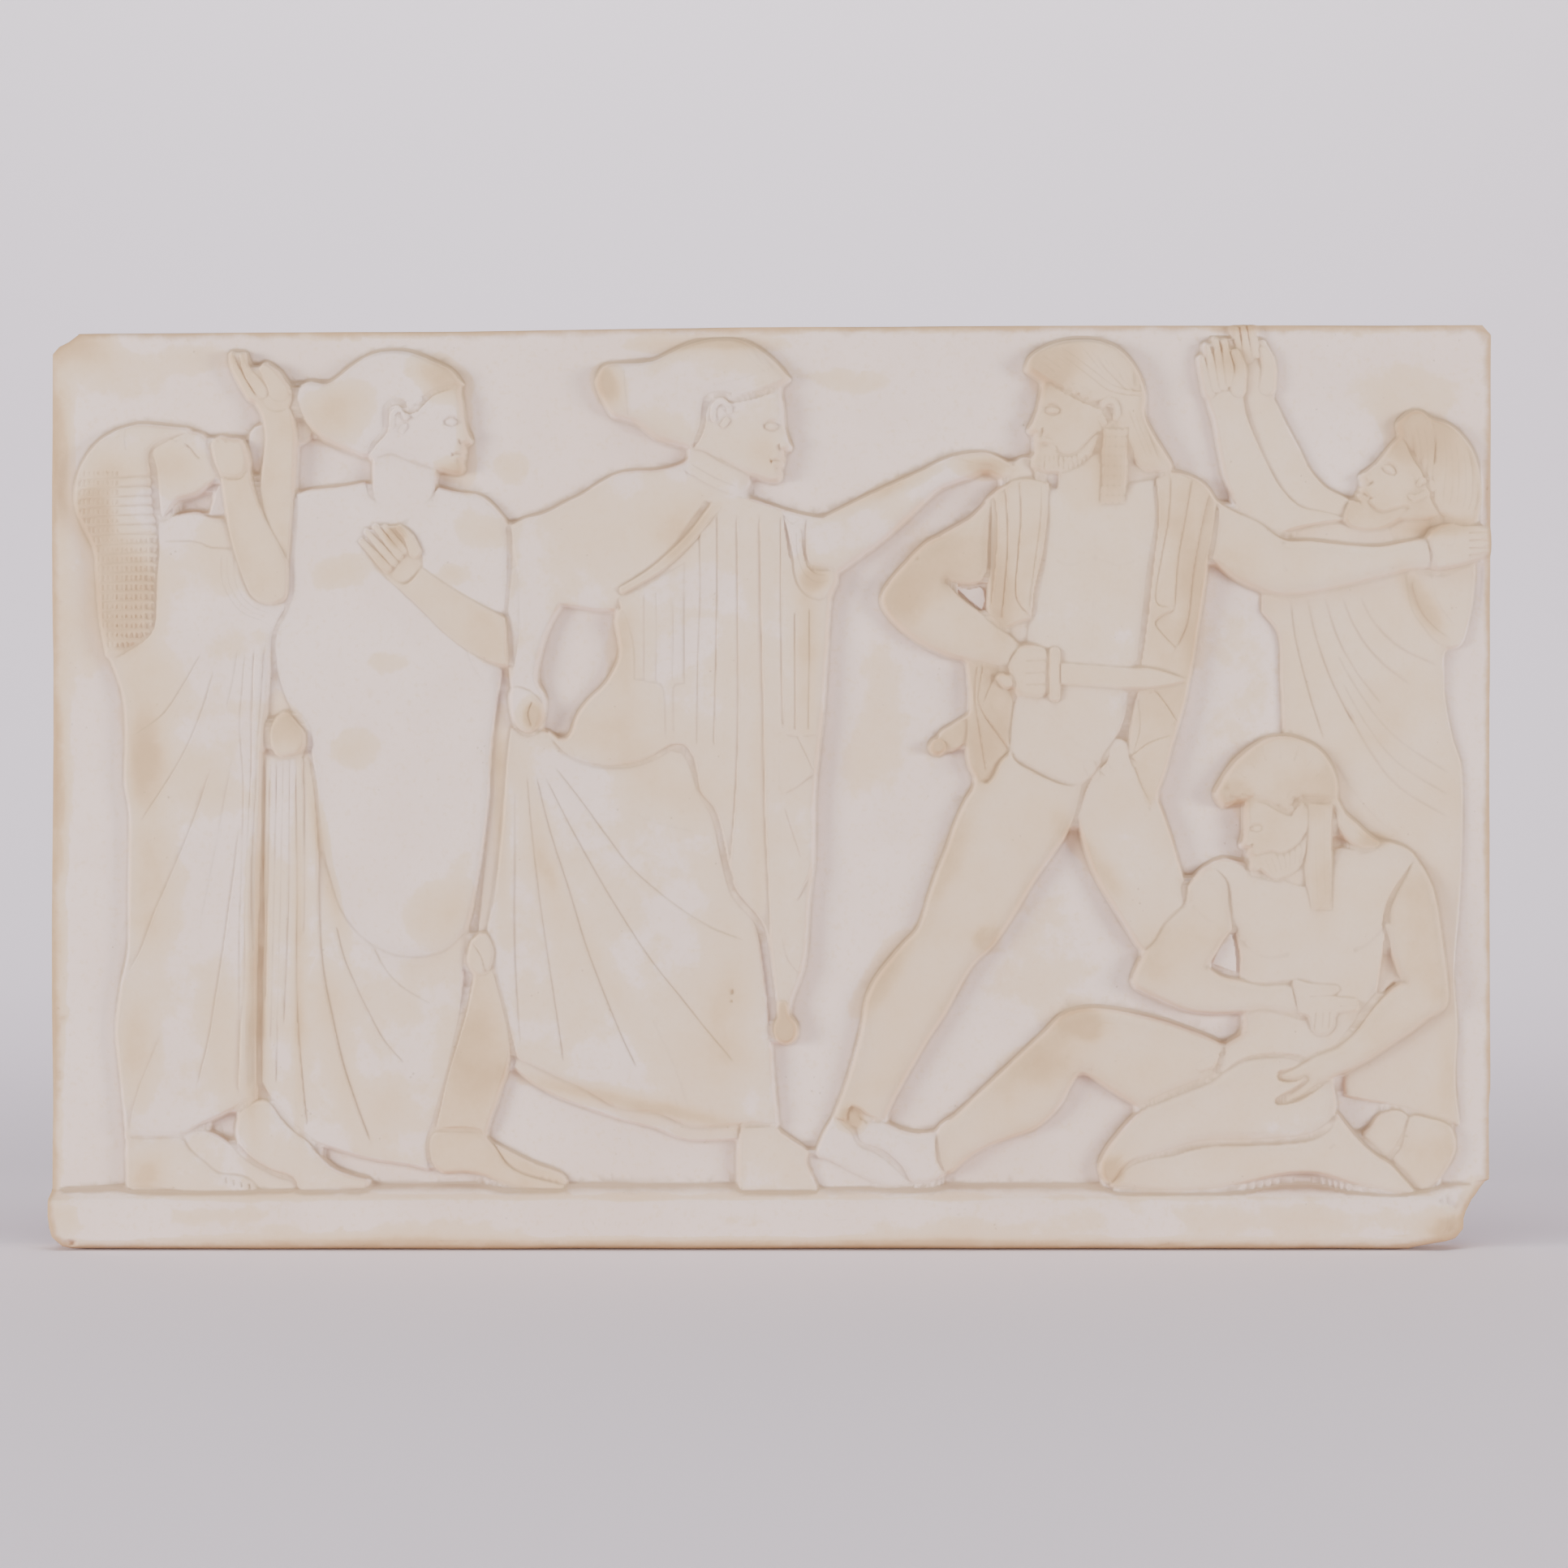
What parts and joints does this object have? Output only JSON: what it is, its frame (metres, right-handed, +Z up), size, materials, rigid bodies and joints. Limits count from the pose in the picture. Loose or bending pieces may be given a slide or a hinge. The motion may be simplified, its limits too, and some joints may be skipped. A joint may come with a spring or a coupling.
{
  "type": "plaster wall relief",
  "caption": "Wide cast plaster wall relief: a slab with a ledge along its foot and a low-relief frieze of draped and nude figures, slightly yellowed, with a chipped corner.",
  "frame": {"origin": "centre of the flat back face, where the relief lies against the wall", "axes": "+X along the panel's length, to the right as one looks at the figures; +Y out of the back, into the wall, so the figures face -Y; +Z up"},
  "size_m": [0.595, 0.032, 0.381],
  "materials": {
    "plaster": "matt cast gypsum plaster, off-white with warm yellowed patches and thin dirt in the crevices"
  },
  "bodies": {
    "root": {"relief_panel": "plaster"}
  },
  "joints": []
}
